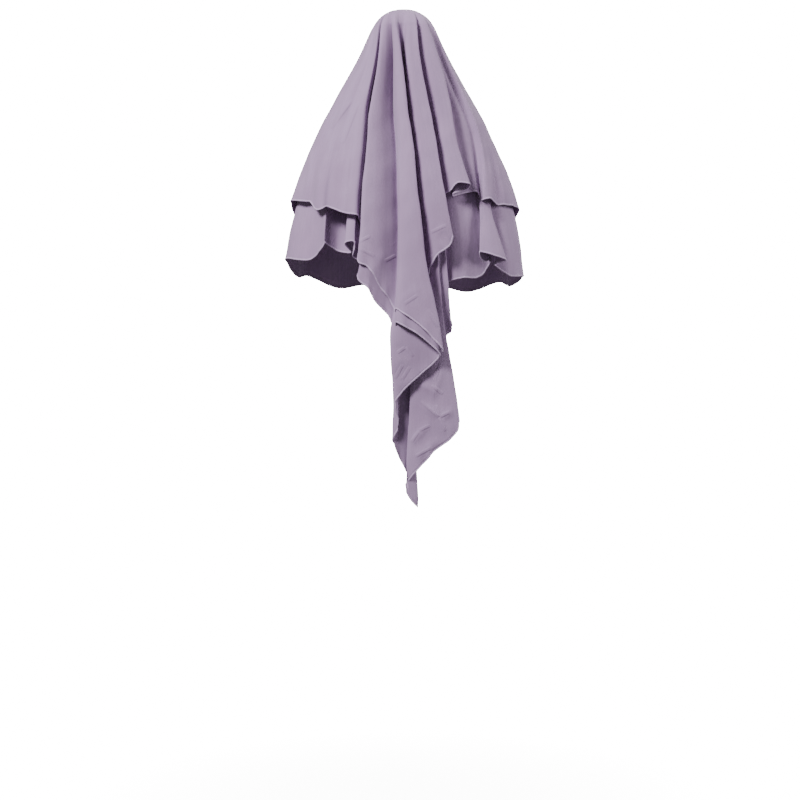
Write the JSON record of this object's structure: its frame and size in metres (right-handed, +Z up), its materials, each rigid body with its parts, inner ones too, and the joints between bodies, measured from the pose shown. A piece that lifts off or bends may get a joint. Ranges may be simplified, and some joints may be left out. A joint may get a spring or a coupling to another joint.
{
  "type": "two-tier chiffon headscarf",
  "caption": "Two-tier draped headscarf in matt chiffon: open face oval, deep back folds, a shorter top tier and a long folded tail behind.",
  "frame": {"origin": "where the top of the wearer's head touches the underside of the crown", "axes": "+Z up, +Y the way the face looks, so the pictured back and its long tail are on the -Y side; +X to the right seen from behind"},
  "size_m": [0.5255, 0.3573, 1.0782],
  "materials": {
    "chiffon": "matt crepe chiffon, lilac mauve",
    "binding": "matt self-coloured binding"
  },
  "bodies": {
    "root": {"upper_tier": "chiffon", "lower_tier": "chiffon", "face_binding": "binding"}
  },
  "joints": []
}
